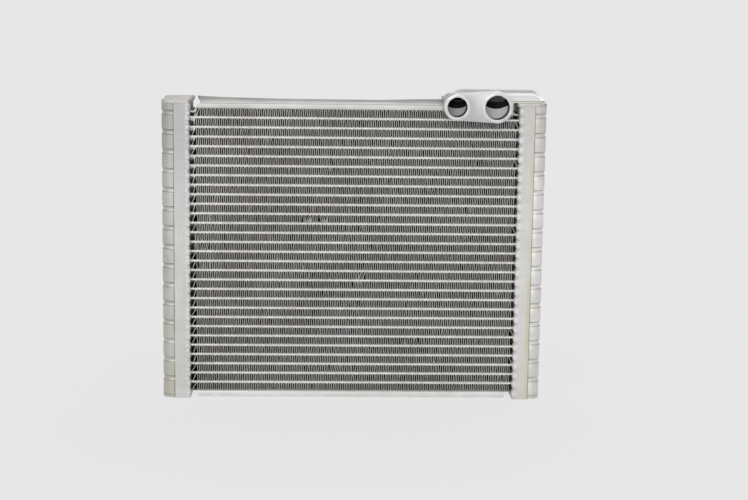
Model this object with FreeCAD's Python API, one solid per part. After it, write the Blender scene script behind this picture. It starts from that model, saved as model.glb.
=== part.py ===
import FreeCAD, Part
import math
import os
from FreeCAD import Vector

# Evaporator core, in millimetres.
# X runs from the left tank to the right tank, -Y is the face with the ports, and Z is up.
# The pieces are drawn around the middle of the core's depth, level with the foot of the tanks,
# and then moved back, so that the origin is at the bottom centre of the whole part.

# Tubes and fins
tube_count = 29
tube_pitch = 7.5
tube_thickness = 1.7
tube_depth = 38.0
tube_nose = 0.8
first_tube_height = 12.0
core_width = 254.6
channel_height = 0.9
channel_end_wall = 1.6
channel_web = 3.0
fin_waves = 5
fin_sheet = 0.45
fin_foot = 0.8
fin_end_gap = 3.0

# Header plates
tank_overhang = 4.0
tank_head_room = 11.0
band_width = 12.2
band_wall = 1.5
crest_height = 2.9
valley_depth = 3.4
valley_wall = 1.8

# Tank covers
tank_width = 22.1
cover_wall = 1.8
shoulder_radius = 7.5
middle_fall_degrees = 8.0
groove_height = 3.8
groove_depth = 0.9
tubes_per_groove = 2

# Tank ends, dividers and baffles
cap_thickness = 2.6
cap_plug = 2.5
cap_edge_inset = 0.8
foot_plate = 2.4
divider_thickness = 1.6
baffle_thickness = 1.5
crossover_count = 4
crossover_height = 14.0
crossover_width = 7.0

# Side plates
side_sheet = 1.2
top_rim_height = 4.05
bottom_rim_clearance = 0.25
rim_end_gap = 5.6
tongue_inset = 4.0
tongue_depth_in_plate = 3.0
top_tongue_drop = 3.2

# Port block
outlet_inset = 18.4
port_spacing = 30.7
port_drop = 3.5
inlet_bore_radius = 7.7
outlet_bore_radius = 9.4
port_rim = 2.5
block_thickness = 16.0
bore_depth = 12.5
port_shelf = 0.8

# Manifold
manifold_sheet = 1.0
duct_wall = 1.2
front_duct_height = 5.3
rear_duct_height = 7.2
inlet_duct_height = 4.2
duct_slope = 2.6
rear_duct_left_slope = 13.0
duct_right_slope = 9.5
manifold_flange = 1.0
duct_gap = 2.0
tank_opening_margin = 4.0

# Places that follow from the sizes above
core_half = core_width / 2
tube_half_depth = tube_depth / 2
tube_flat_half = tube_half_depth - tube_nose
tube_half_thickness = tube_thickness / 2
fin_height = tube_pitch - tube_thickness
fin_half = core_half - fin_end_gap
top_tube_height = first_tube_height + tube_pitch * (tube_count - 1)
tank_height = top_tube_height + tank_head_room
plate_inner_x = core_half + valley_depth + valley_wall
band_outer_x = core_half + band_width
tank_outer_x = core_half + tank_width
tank_half_depth = tube_half_depth + tank_overhang
cover_half_depth = tank_half_depth - band_wall
top_plate_height = top_tube_height + tube_half_thickness + fin_height
bottom_plate_height = first_tube_height - tube_half_thickness - fin_height
top_tongue_height = top_plate_height - top_tongue_drop
baffle_height = first_tube_height + tube_pitch * (tube_count // 2 + 0.5)
cap_top = tank_height + cap_thickness
manifold_floor = cap_top + manifold_sheet
outlet_x = core_half - outlet_inset
inlet_x = outlet_x - port_spacing
port_height = manifold_floor - port_drop
tongue_half_width = tube_half_depth - tongue_inset
block_back = -tube_half_depth
block_front = block_back - block_thickness
middle_of_depth = (block_front + tank_half_depth) / 2


def tube_height(index):
    return first_tube_height + tube_pitch * index


def gap_height(index):
    return tube_height(index) + tube_pitch / 2


def box(x0, x1, y0, y1, z0, z1):
    return Part.makeBox(x1 - x0, y1 - y0, z1 - z0, Vector(x0, y0, z0))


def closed_wire(points):
    return Part.makePolygon(points + [points[0]])


def prism_along_y(outline, y0, y1):
    points = [Vector(x, y0, z) for x, z in outline]
    return Part.Face(closed_wire(points)).extrude(Vector(0, y1 - y0, 0))


def prism_along_z(outline, z0, z1):
    points = [Vector(x, y, z0) for x, y in outline]
    return Part.Face(closed_wire(points)).extrude(Vector(0, 0, z1 - z0))


def on_left(shape):
    return shape.mirror(Vector(0, 0, 0), Vector(1, 0, 0))


def join(shapes):
    return shapes[0].fuse(shapes[1:]).removeSplitter()


def flat_sided_solid(rings):
    faces = [Part.Face(closed_wire(rings[0])), Part.Face(closed_wire(rings[-1]))]
    for low, high in zip(rings, rings[1:]):
        for index in range(len(low)):
            corners = [low[index - 1], low[index], high[index], high[index - 1]]
            faces.append(Part.Face(closed_wire(corners)))
    shell = Part.Shell(faces)
    shell.sewShape()
    return Part.Solid(shell).removeSplitter()


# Flat tube: a pointed oval with a front and a rear flow channel
def tube_outline(height):
    return [
        (-tube_half_depth, height),
        (-tube_flat_half, height - tube_half_thickness),
        (tube_flat_half, height - tube_half_thickness),
        (tube_half_depth, height),
        (tube_flat_half, height + tube_half_thickness),
        (-tube_flat_half, height + tube_half_thickness),
    ]


def tube_blank(height, x0, x1):
    points = [Vector(x0, y, z) for y, z in tube_outline(height)]
    return Part.Face(closed_wire(points)).extrude(Vector(x1 - x0, 0, 0))


def flat_tube(height):
    tube = tube_blank(height, -plate_inner_x, plate_inner_x)
    low = height - channel_height / 2
    high = height + channel_height / 2
    outer = tube_half_depth - channel_end_wall
    inner = channel_web / 2
    front = box(-plate_inner_x, plate_inner_x, -outer, -inner, low, high)
    rear = box(-plate_inner_x, plate_inner_x, inner, outer, low, high)
    return tube.cut([front, rear])


# Fin: one folded ribbon, with a flat foot on the tube below and a crest against the tube above
def fin_ribbon(bottom):
    top = bottom + fin_height
    folds = 2 * fin_waves
    step = 2 * fin_half / folds
    upper = []
    lower = []
    for fold in range(folds + 1):
        x = -fin_half + fold * step
        if fold % 2:
            upper.append((x, top))
            lower.append((x, top - fin_sheet))
        else:
            upper.append((x, bottom + fin_sheet))
            lower.append((max(x - fin_foot / 2, -fin_half), bottom))
            lower.append((min(x + fin_foot / 2, fin_half), bottom))
    return prism_along_y(upper + lower[::-1], -tube_flat_half, tube_flat_half)


def finned_tube(index):
    height = tube_height(index)
    return join([flat_tube(height), fin_ribbon(height + tube_half_thickness)])


# Header plate: a channel whose core side is pressed into a crest around each tube
def crest_line():
    heights = [bottom_plate_height - side_sheet / 2]
    heights += [tube_height(index) for index in range(tube_count)]
    line = [(core_half, 0)]
    for low, high in zip(heights, heights[1:]):
        line.append((core_half, low + crest_height / 2))
        line.append((core_half + valley_depth, (low + high) / 2))
        line.append((core_half, high - crest_height / 2))
    line.append((core_half, tank_height))
    return line


def tongue_pocket(height):
    end = core_half + tongue_depth_in_plate
    half = side_sheet / 2
    return box(core_half - 1, end, -tongue_half_width, tongue_half_width, height - half, height + half)


def header_plate():
    outline = crest_line() + [(band_outer_x, tank_height), (band_outer_x, 0)]
    plate = prism_along_y(outline, -tank_half_depth, tank_half_depth)
    hollow = box(plate_inner_x, band_outer_x + 1, -cover_half_depth, cover_half_depth, -1, tank_height + 1)
    slots = [
        tube_blank(tube_height(index), core_half - 1, plate_inner_x + 1)
        for index in range(tube_count)
    ]
    pockets = [
        tongue_pocket(bottom_plate_height - side_sheet / 2),
        tongue_pocket(top_tongue_height),
    ]
    return plate.cut([hollow] + slots + pockets)


# Tank cover: two barrels side by side, with a waist pressed in every second fin row
def middle_x(reach, half_depth):
    return reach - (half_depth - shoulder_radius) * math.tan(math.radians(middle_fall_degrees))


def barrel_outline(foot_x, reach, half_depth):
    centre_x = reach - shoulder_radius
    centre_y = half_depth - shoulder_radius
    turn = shoulder_radius * math.sqrt(0.5)
    front = [
        (foot_x, -half_depth),
        (centre_x, -half_depth),
        (centre_x + turn, -centre_y - turn),
        (reach, -centre_y),
    ]
    rear = [(x, -y) for x, y in reversed(front)]
    return front + [(middle_x(reach, half_depth), 0)] + rear


def cover_section(height, inset):
    outline = barrel_outline(plate_inner_x, tank_outer_x - inset, cover_half_depth - inset)
    return [Vector(x, y, height) for x, y in outline]


def cavity_outline():
    return barrel_outline(plate_inner_x, tank_outer_x - cover_wall, cover_half_depth - cover_wall)


def tank_cover():
    sections = [cover_section(0, 0)]
    for index in range(0, tube_count, tubes_per_groove):
        middle = gap_height(index)
        sections.append(cover_section(middle - groove_height / 2, 0))
        sections.append(cover_section(middle, groove_depth))
        sections.append(cover_section(middle + groove_height / 2, 0))
    sections.append(cover_section(tank_height, 0))
    hollow = prism_along_z(cavity_outline(), -1, tank_height + 1)
    return flat_sided_solid(sections).cut(hollow)


# Tank ends: a plug inside each end, and at the top a plate over it
def foot_cap():
    return prism_along_z(cavity_outline(), 0, foot_plate)


def head_cap():
    half = tank_half_depth - cap_edge_inset
    outline = barrel_outline(core_half + cap_edge_inset, tank_outer_x, half)
    plate = prism_along_z(outline, tank_height, cap_top)
    plug = prism_along_z(cavity_outline(), tank_height - cap_plug, tank_height)
    return join([plate, plug])


def tank_openings(z0, z1):
    x0 = plate_inner_x + tank_opening_margin
    x1 = tank_outer_x - cover_wall - tank_opening_margin
    y0 = divider_thickness / 2 + tank_opening_margin
    y1 = cover_half_depth - cover_wall - tank_opening_margin
    return [box(x0, x1, -y1, -y0, z0, z1), box(x0, x1, y0, y1, z0, z1)]


def ported_head_cap():
    return head_cap().cut(tank_openings(tank_height - cap_plug - 1, cap_top + 1))


# Divider between the front and the rear chamber of a tank
divider_end_x = middle_x(tank_outer_x - cover_wall, cover_half_depth - cover_wall)


def tank_divider():
    half = divider_thickness / 2
    return box(plate_inner_x, divider_end_x, -half, half, foot_plate, tank_height - cap_plug)


def crossed_divider():
    x0 = (plate_inner_x + divider_end_x - crossover_width) / 2
    x1 = x0 + crossover_width
    spacing = (baffle_height - foot_plate) / (crossover_count + 1)
    windows = []
    for index in range(crossover_count):
        z = foot_plate + spacing * (index + 1) - crossover_height / 2
        windows.append(box(x0, x1, -divider_thickness, divider_thickness, z, z + crossover_height))
    return tank_divider().cut(windows)


def front_baffle():
    low = baffle_height - baffle_thickness / 2
    whole = prism_along_z(cavity_outline(), low, low + baffle_thickness)
    rest = box(0, tank_outer_x, -divider_thickness / 2, tank_half_depth, low - 1, low + baffle_thickness + 1)
    return whole.cut(rest)


# Side plates: shallow channels with a tongue at each end
def side_rims(z0, z1):
    x = core_half - rim_end_gap
    outer = tube_half_depth
    inner = outer - side_sheet
    return [box(-x, x, -outer, -inner, z0, z1), box(-x, x, inner, outer, z0, z1)]


def top_side_plate():
    web_x = core_half - rim_end_gap
    high = top_plate_height + side_sheet
    web = box(-web_x, web_x, -tube_half_depth, tube_half_depth, top_plate_height, high)
    low = top_tongue_height - side_sheet / 2
    end = core_half + tongue_depth_in_plate
    bend = [
        (web_x, top_plate_height),
        (core_half, low),
        (end, low),
        (end, low + side_sheet),
        (core_half, low + side_sheet),
        (web_x, high),
    ]
    tongue = prism_along_y(bend, -tongue_half_width, tongue_half_width)
    rims = side_rims(top_plate_height, top_plate_height + top_rim_height)
    return join([web, tongue, on_left(tongue)] + rims)


def bottom_side_plate():
    web_x = core_half - rim_end_gap
    low = bottom_plate_height - side_sheet
    web = box(-web_x, web_x, -tube_half_depth, tube_half_depth, low, bottom_plate_height)
    end = core_half + tongue_depth_in_plate
    tongue = box(-end, end, -tongue_half_width, tongue_half_width, low, bottom_plate_height)
    rims = side_rims(bottom_rim_clearance, bottom_plate_height)
    return join([web, tongue] + rims)


# Port block: two round ends joined by a web, each bore open to its duct through a window near the top
def block_outline():
    inlet_radius = inlet_bore_radius + port_rim
    outlet_radius = outlet_bore_radius + port_rim
    lean = math.asin((outlet_radius - inlet_radius) / (outlet_x - inlet_x))
    along = -math.sin(lean)
    across = math.cos(lean)

    def place(x, radius, side_x, side_z):
        return Vector(x + radius * side_x, block_back, port_height + radius * side_z)

    inlet_top = place(inlet_x, inlet_radius, along, across)
    inlet_low = place(inlet_x, inlet_radius, along, -across)
    outlet_top = place(outlet_x, outlet_radius, along, across)
    outlet_low = place(outlet_x, outlet_radius, along, -across)
    edges = [
        Part.Arc(inlet_top, place(inlet_x, inlet_radius, -1, 0), inlet_low).toShape(),
        Part.LineSegment(inlet_low, outlet_low).toShape(),
        Part.Arc(outlet_low, place(outlet_x, outlet_radius, 1, 0), outlet_top).toShape(),
        Part.LineSegment(outlet_top, inlet_top).toShape(),
    ]
    return Part.Wire(edges)


def round_bar(x, radius, y0, y1):
    return Part.makeCylinder(radius, y1 - y0, Vector(x, y0, port_height), Vector(0, 1, 0))


def port_bore(x, radius, duct_height):
    end = block_front + bore_depth
    bore = round_bar(x, radius, block_front - 1, end)
    ceiling = manifold_floor + duct_height - duct_wall
    half = radius - duct_slope
    duct = box(x - half, x + half, end - 1, block_back + 1, manifold_floor, ceiling)
    return [bore, duct.common(round_bar(x, radius - port_shelf, end - 1, block_back + 1))]


def port_block():
    block = Part.Face(block_outline()).extrude(Vector(0, -block_thickness, 0))
    cuts = port_bore(inlet_x, inlet_bore_radius, inlet_duct_height)
    cuts += port_bore(outlet_x, outlet_bore_radius, front_duct_height)
    return block.cut(cuts)


# Manifold: a flat lower shell and an upper shell with two raised ducts
manifold_left = inlet_x - inlet_bore_radius - manifold_flange
manifold_right = tank_outer_x - manifold_flange
duct_right = manifold_right - manifold_flange


def hood(x0, x1, y0, y1, height, left, right, front, rear, wall):
    low = manifold_floor
    high = manifold_floor + height - wall
    base = [(x0, y0), (x1, y0), (x1, y1), (x0, y1)]
    crown = [
        (x0 + left, y0 + front),
        (x1 - right, y0 + front),
        (x1 - right, y1 - rear),
        (x0 + left, y1 - rear),
    ]
    inward = [(wall, wall), (-wall, wall), (-wall, -wall), (wall, -wall)]
    rings = []
    for corners, z in ((base, low), (crown, high)):
        rings.append([Vector(x + dx, y + dy, z) for (x, y), (dx, dy) in zip(corners, inward)])
    return flat_sided_solid(rings)


def ducts(wall):
    inlet_half = inlet_bore_radius
    outlet_half = outlet_bore_radius
    mouth = block_back - wall
    middle = duct_gap / 2
    rear_edge = tube_half_depth - manifold_flange
    front_duct = hood(
        outlet_x - outlet_half, duct_right, block_back + manifold_flange, -middle,
        front_duct_height, duct_slope, duct_right_slope, duct_slope, duct_slope, wall
    )
    outlet_neck = hood(
        outlet_x - outlet_half, outlet_x + outlet_half, mouth, -middle - duct_slope,
        front_duct_height, duct_slope, duct_slope, 0, 0, wall
    )
    rear_duct = hood(
        inlet_x - inlet_half, duct_right, middle, rear_edge,
        rear_duct_height, rear_duct_left_slope, duct_right_slope, duct_slope, duct_slope, wall
    )
    inlet_neck = hood(
        inlet_x - inlet_half, inlet_x + inlet_half, mouth, rear_edge - duct_slope,
        inlet_duct_height, duct_slope, duct_slope, 0, 0, wall
    )
    return [front_duct, outlet_neck, rear_duct, inlet_neck]


def manifold_outline():
    clip = shoulder_radius
    return [
        (manifold_left, block_back),
        (manifold_right - clip, block_back),
        (manifold_right, block_back + clip),
        (manifold_right, tube_half_depth - clip),
        (manifold_right - clip, tube_half_depth),
        (manifold_left, tube_half_depth),
    ]


def lower_shell():
    floor = prism_along_z(manifold_outline(), cap_top, manifold_floor)
    return floor.cut(tank_openings(cap_top - 1, manifold_floor + 1))


def upper_shell():
    flange = prism_along_z(manifold_outline(), manifold_floor, manifold_floor + manifold_sheet)
    shell = join([flange] + ducts(0))
    return shell.cut(ducts(duct_wall)).removeSplitter()


# All pieces by name
def pieces():
    parts = {}
    for index in range(tube_count):
        parts["finned_tube_%02d" % (index + 1)] = finned_tube(index)
    parts["bottom_fin"] = fin_ribbon(bottom_plate_height)
    plate = header_plate()
    cover = tank_cover()
    foot = foot_cap()
    baffle = front_baffle()
    parts["header_plate_right"] = plate
    parts["header_plate_left"] = on_left(plate)
    parts["tank_cover_right"] = cover
    parts["tank_cover_left"] = on_left(cover)
    parts["foot_cap_right"] = foot
    parts["foot_cap_left"] = on_left(foot)
    parts["head_cap_right"] = ported_head_cap()
    parts["head_cap_left"] = on_left(head_cap())
    parts["divider_right"] = crossed_divider()
    parts["divider_left"] = on_left(tank_divider())
    parts["baffle_front"] = baffle
    parts["baffle_rear"] = baffle.mirror(Vector(0, 0, 0), Vector(0, 1, 0))
    parts["side_plate_top"] = top_side_plate()
    parts["side_plate_bottom"] = bottom_side_plate()
    parts["port_block"] = port_block()
    parts["manifold_lower_shell"] = lower_shell()
    parts["manifold_upper_shell"] = upper_shell()
    return parts


os.makedirs("parts", exist_ok=True)
for name, shape in pieces().items():
    shape.translate(Vector(0, -middle_of_depth, 0))
    shape.exportStep("parts/%s.step" % name)
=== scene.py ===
import bmesh
import bpy
import math
import random
from mathutils import Matrix, Vector


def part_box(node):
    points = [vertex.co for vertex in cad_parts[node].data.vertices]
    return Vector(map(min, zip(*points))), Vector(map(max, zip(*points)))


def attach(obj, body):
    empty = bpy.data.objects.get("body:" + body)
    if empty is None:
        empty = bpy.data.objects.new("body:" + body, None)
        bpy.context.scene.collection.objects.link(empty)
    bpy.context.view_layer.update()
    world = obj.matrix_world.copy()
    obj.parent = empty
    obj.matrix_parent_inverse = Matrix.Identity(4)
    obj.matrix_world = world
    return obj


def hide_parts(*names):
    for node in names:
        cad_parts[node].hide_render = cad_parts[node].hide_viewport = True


# Evaporator core: finned flat tubes between two tanks, with a port block and a manifold
# at the top right. Everything is in metres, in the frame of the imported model: -Y is the
# face with the ports and Z is up.
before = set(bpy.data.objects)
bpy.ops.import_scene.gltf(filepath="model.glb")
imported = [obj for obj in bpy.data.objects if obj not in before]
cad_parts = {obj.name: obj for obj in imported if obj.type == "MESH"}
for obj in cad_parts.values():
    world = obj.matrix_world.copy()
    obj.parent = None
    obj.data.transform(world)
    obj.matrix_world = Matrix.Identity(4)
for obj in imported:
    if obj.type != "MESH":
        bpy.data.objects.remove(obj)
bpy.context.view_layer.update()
mm = 0.001
close = 0.02 * mm
X, Y, Z = range(3)

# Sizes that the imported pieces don't show by their outer box
tube_count = 29
tube_pitch = 7.5 * mm
tube_thickness = 1.7 * mm
tube_nose = 0.8 * mm
channel_rim = 0.35 * mm
channel_depth = 4 * mm
least_channel_end = 10 * mm * mm
fin_sheet = 0.32 * mm
waves_in_row = 85
fin_crest_radius = 0.68 * mm
fin_bow = 1.4 * mm
louvre_depth = 4.5 * mm
louvre_pleat = 1.0 * mm
louvre_sheet = 0.1 * mm
top_row_end = 122.4 * mm
# Dented fins, in millimetres: the row, the place along it, half the width, the two
# heights above the row's foot and the bend to the side
dents = (
    (18, -37, 3.5, -1, 3.6, 1.5),
    (18, -30, 3.5, -1, 3.4, -1.3),
    (18, -24, 2.5, -1, 3.8, 1.4),
    (17, 5, 2.0, 2, 6, 0.9),
    (12, 7, 2.5, -1, 4, -1.0),
    (11, 3, 3.0, 1, 5, 1.0),
    (26, -65, 2.0, 1, 6, -0.9),
    (5, 40, 2.5, -1, 4, 0.9),
    (2, -14, 4.0, 1, 6, 0.8),
    (18, -118, 5.0, -1, 6, 0.9),
    (15, -117, 4.5, -1, 4, -0.9),
    (13, -117, 5.0, -1, 5, 0.9),
    (29, -121.5, 1.4, -1, 3, -1.9),
)
header_wall = 1.5 * mm
header_corner = 1.9 * mm
valley_depth = 3.4 * mm
valley_run_in = 4.8 * mm
valley_rows = (
    (1.45 * mm, 0.0),
    (2.3 * mm, 0.3),
    (3.1 * mm, 0.82),
    (3.75 * mm, 1.0),
    (4.4 * mm, 0.82),
    (5.2 * mm, 0.3),
    (6.05 * mm, 0.0),
)
cover_wall = 1.8 * mm
shoulder_radius = 7.5 * mm
middle_fall = 1.9 * mm
groove_pitch = 2 * tube_pitch
groove_rows = (
    (-2.0 * mm, 0.0),
    (-1.3 * mm, 0.5 * mm),
    (0.0, 0.7 * mm),
    (1.3 * mm, 0.5 * mm),
    (2.0 * mm, 0.0),
)
side_sheet = 1.2 * mm
side_bend = 1.4 * mm
tongue_run = 3.0 * mm
tongue_steps = 4
tongue_drop = 3.2 * mm
head_overhang = 2.2 * mm
duct_bend = 3.3 * mm
rim_end_gap = 5.6 * mm
tongue_half = 15 * mm

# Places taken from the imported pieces
header_low, header_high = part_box("header_plate_right")
cover_low, cover_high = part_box("tank_cover_right")
cap_low, cap_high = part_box("head_cap_right")
foot_low, foot_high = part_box("foot_cap_right")
top_plate_low, top_plate_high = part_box("side_plate_top")
bottom_plate_low, bottom_plate_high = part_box("side_plate_bottom")
fin_low, fin_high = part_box("bottom_fin")
block_low, block_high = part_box("port_block")
lower_shell_low, lower_shell_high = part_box("manifold_lower_shell")
upper_shell_low, upper_shell_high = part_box("manifold_upper_shell")
core_front = top_plate_low.y
core_back = top_plate_high.y
middle_y = (core_front + core_back) / 2
first_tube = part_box("finned_tube_01")[0].z + tube_thickness / 2
top_tube = first_tube + tube_pitch * (tube_count - 1)
row_end = fin_high.x + 1.5 * mm
fin_wave = (row_end - fin_low.x) / waves_in_row
plate_end_x = header_low.x - rim_end_gap
outlet_bore = 9.4 * mm
inlet_bore = 7.7 * mm
port_rim = 2.5 * mm
port_shelf = 0.3 * mm
pocket_arc = 15.0 * mm
pocket_drop = 1.9 * mm
bore_depth = 12.5 * mm
bar_trim = 0.15 * mm
window_margin = 2.6 * mm
duct_wall = 1.2 * mm
web_recess = 0.35 * mm
outlet_radius = outlet_bore + port_rim
inlet_radius = inlet_bore + port_rim
port_z = (block_low.z + block_high.z) / 2
outlet = Vector((block_high.x - outlet_radius, 0, port_z))
inlet = Vector((block_low.x + inlet_radius, 0, port_z))


# Working in edit mode
def leave_edit_mode():
    if bpy.context.object and bpy.context.object.mode != "OBJECT":
        bpy.ops.object.mode_set(mode="OBJECT")


def clear_selection():
    leave_edit_mode()
    bpy.ops.object.select_all(action="DESELECT")


def only(piece):
    clear_selection()
    bpy.context.view_layer.objects.active = piece
    piece.select_set(True)


def edit(piece):
    only(piece)
    bpy.ops.object.mode_set(mode="EDIT")
    bpy.ops.mesh.select_all(action="DESELECT")


def open_new(name):
    """Names the new primitive, puts its place and size into its mesh and opens it."""
    piece = bpy.context.object
    piece.name = name
    piece.data.name = name
    bpy.ops.object.transform_apply(location=True, rotation=True, scale=True)
    edit(piece)
    return piece


def start_primitive(add, name, low, high):
    clear_selection()
    add(size=1, location=(low + high) / 2)
    bpy.context.object.scale = [side if side > 0 else 1 for side in high - low]
    return open_new(name)


def start_block(name, low, high):
    return start_primitive(bpy.ops.mesh.primitive_cube_add, name, low, high)


def start_sheet(name, low, high):
    return start_primitive(bpy.ops.mesh.primitive_plane_add, name, low, high)


def start_bar(name, centre, radius, front, back, sides):
    clear_selection()
    bpy.ops.mesh.primitive_cylinder_add(
        vertices=sides, radius=radius, depth=back - front, rotation=(math.radians(90), 0, 0),
        location=(centre.x, (front + back) / 2, centre.z)
    )
    return open_new(name)


def pick(piece, kind, test):
    modes = {"faces": "FACE", "edges": "EDGE", "verts": "VERT"}
    bpy.ops.mesh.select_mode(type=modes[kind])
    bpy.ops.mesh.select_all(action="DESELECT")
    mesh = bmesh.from_edit_mesh(piece.data)
    for item in getattr(mesh, kind):
        if test(item):
            item.select_set(True)
    mesh.select_flush_mode()
    bmesh.update_edit_mesh(piece.data)


def middle(item):
    return sum((corner.co for corner in item.verts), Vector()) / len(item.verts)


def near(value, goal):
    return abs(value - goal) < close


def runs_along(edge, axis):
    way = (edge.verts[1].co - edge.verts[0].co).normalized()
    return abs(way[axis]) > 0.99


def cut_at(axis, value):
    """Cuts the open piece all through where X, Y or Z has the value."""
    point = [0, 0, 0]
    normal = [0, 0, 0]
    point[axis] = value
    normal[axis] = 1
    bpy.ops.mesh.select_all(action="SELECT")
    bpy.ops.mesh.bisect(plane_co=point, plane_no=normal)


def round_shoulders(piece, outer_x, segments):
    pick(piece, "edges", lambda edge: runs_along(edge, Z) and middle(edge).x > outer_x - close)
    bpy.ops.mesh.bevel(offset=shoulder_radius, segments=segments)


def move(x=0.0, y=0.0, z=0.0):
    bpy.ops.transform.translate(value=(x, y, z))


def extrude(x=0.0, y=0.0, z=0.0):
    bpy.ops.mesh.extrude_region_move(TRANSFORM_OT_translate={"value": (x, y, z)})


def extrude_edges(x=0.0, y=0.0, z=0.0):
    bpy.ops.mesh.extrude_edges_move(TRANSFORM_OT_translate={"value": (x, y, z)})


def modify(piece, kind, **settings):
    only(piece)
    modifier = piece.modifiers.new(kind.lower(), kind)
    for key, value in settings.items():
        setattr(modifier, key, value)
    bpy.ops.object.modifier_apply(modifier=modifier.name)


def repeat(piece, count, step):
    modify(
        piece, "ARRAY", count=count, use_merge_vertices=True, merge_threshold=close,
        use_relative_offset=False, use_constant_offset=True, constant_offset_displace=step
    )


def close_up(piece):
    edit(piece)
    bpy.ops.mesh.select_all(action="SELECT")
    bpy.ops.mesh.remove_doubles(threshold=close / 4)
    bpy.ops.mesh.normals_make_consistent(inside=False)
    leave_edit_mode()


def smooth(piece, degrees=35):
    only(piece)
    bpy.ops.object.shade_smooth_by_angle(angle=math.radians(degrees))


def copied(piece, name, shift=None):
    leave_edit_mode()
    twin = piece.copy()
    twin.data = piece.data.copy()
    twin.name = name
    twin.data.name = name
    bpy.context.scene.collection.objects.link(twin)
    if shift:
        only(twin)
        twin.location = shift
        bpy.ops.object.transform_apply(location=True, rotation=False, scale=False)
    return twin


def on_left(piece, name):
    twin = copied(piece, name)
    only(twin)
    twin.scale = (-1, 1, 1)
    bpy.ops.object.transform_apply(location=False, rotation=False, scale=True)
    close_up(twin)
    smooth(twin)
    return twin


def remove(piece):
    leave_edit_mode()
    bpy.data.objects.remove(piece)


def combine(piece, other, operation):
    close_up(other)
    modify(piece, "BOOLEAN", operation=operation, object=other, solver="EXACT")
    remove(other)


def dress(piece, slot, material, *nodes):
    leave_edit_mode()
    piece.data.materials.clear()
    piece.data.materials.append(material)
    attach(piece, "root")
    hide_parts(*nodes)


# Node trees
def feed(tree, socket, value):
    """Links a socket's value, or sets a plain number or colour."""
    if isinstance(value, bpy.types.NodeSocket):
        tree.links.new(value, socket)
    else:
        socket.default_value = value


def node(tree, kind, settings=None, **inputs):
    made = tree.nodes.new("ShaderNode" + kind)
    for key, value in (settings or {}).items():
        setattr(made, key, value)
    for key, value in inputs.items():
        feed(tree, made.inputs[key.replace("_", " ")], value)
    return made


def fed_in_order(tree, kind, settings, *values):
    made = node(tree, kind, settings)
    for socket, value in zip(made.inputs, values):
        feed(tree, socket, value)
    return made.outputs


def math_node(tree, operation, *values):
    return fed_in_order(tree, "Math", {"operation": operation}, *values)[0]


def times(tree, first, second):
    return math_node(tree, "MULTIPLY", first, second)


def minus(tree, first, second):
    return math_node(tree, "SUBTRACT", first, second)


def larger(tree, first, second):
    return math_node(tree, "MAXIMUM", first, second)


def vector_node(tree, operation, *values):
    return fed_in_order(tree, "VectorMath", {"operation": operation}, *values)


def mix_colour(tree, factor, first, second):
    made = node(tree, "Mix", {"data_type": "RGBA"})
    for index, value in ((0, factor), (6, first), (7, second)):
        feed(tree, made.inputs[index], value)
    return made.outputs[2]


def axes_of(tree, place):
    return node(tree, "SeparateXYZ", Vector=place).outputs


def noise(tree, place, scale, detail=2.0, roughness=0.5):
    made = node(tree, "TexNoise", Vector=place, Scale=scale, Detail=detail, Roughness=roughness)
    return made.outputs["Fac"]


def ramp(tree, value, low, high, out_low=0.0, out_high=1.0):
    return node(
        tree, "MapRange", {"interpolation_type": "SMOOTHSTEP"},
        Value=value, From_Min=low, From_Max=high, To_Min=out_low, To_Max=out_high
    ).outputs["Result"]


def paint(tree, shader, colour):
    tree.links.new(colour, shader.inputs["Base Color"])


def new_group(name, numbers, outputs):
    tree = bpy.data.node_groups.new(name, "ShaderNodeTree")
    tree.interface.new_socket(name="Place", in_out="INPUT", socket_type="NodeSocketVector")
    for key, value in numbers.items():
        socket = tree.interface.new_socket(name=key, in_out="INPUT", socket_type="NodeSocketFloat")
        socket.default_value = value
    for key in outputs:
        tree.interface.new_socket(name=key, in_out="OUTPUT", socket_type="NodeSocketFloat")
    inside = tree.nodes.new("NodeGroupInput")
    out = tree.nodes.new("NodeGroupOutput")
    return tree, inside.outputs, out.inputs


def rolled_grain_group():
    """Long faint lines that rolling leaves in the sheet, along X, Y or Z by the stretch given."""
    numbers = {"Along X": 1.0, "Along Y": 1.0, "Along Z": 1.0, "Lines": 900.0}
    tree, given, out = new_group("rolled_grain", numbers, ["Mask"])
    stretch = node(tree, "CombineXYZ", X=given["Along X"], Y=given["Along Y"], Z=given["Along Z"])
    stretched = vector_node(tree, "MULTIPLY", given["Place"], stretch.outputs[0])[0]
    lines = noise(tree, stretched, given["Lines"], 3.0, 0.6)
    tree.links.new(ramp(tree, lines, 0.3, 0.7), out["Mask"])
    return tree


def flux_bloom_group():
    """Pale and dull patches that brazing flux leaves on aluminium, from cloudy to speckled."""
    numbers = {"Patches": 60.0, "Specks": 700.0, "Cover": 0.5}
    tree, given, out = new_group("flux_bloom", numbers, ["Cloud", "Speck"])
    cloud = noise(tree, given["Place"], given["Patches"], 5.0, 0.62)
    edge = minus(tree, 1.0, given["Cover"])
    low = minus(tree, edge, 0.12)
    high = math_node(tree, "ADD", edge, 0.14)
    tree.links.new(ramp(tree, cloud, low, high), out["Cloud"])
    speck = noise(tree, given["Place"], given["Specks"])
    tree.links.new(ramp(tree, speck, 0.58, 0.72), out["Speck"])
    return tree


rolled_grain = rolled_grain_group()
flux_bloom = flux_bloom_group()


def use_group(tree, group, place, **numbers):
    made = tree.nodes.new("ShaderNodeGroup")
    made.node_tree = group
    tree.links.new(place, made.inputs["Place"])
    for key, value in numbers.items():
        made.inputs[key.replace("_", " ")].default_value = value
    return made


def grey(level, warmth=0.0):
    value = level / 255
    linear = ((value + 0.055) / 1.055) ** 2.4
    return (linear * (1 + warmth), linear, linear * (1 - 2 * warmth), 1.0)


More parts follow.
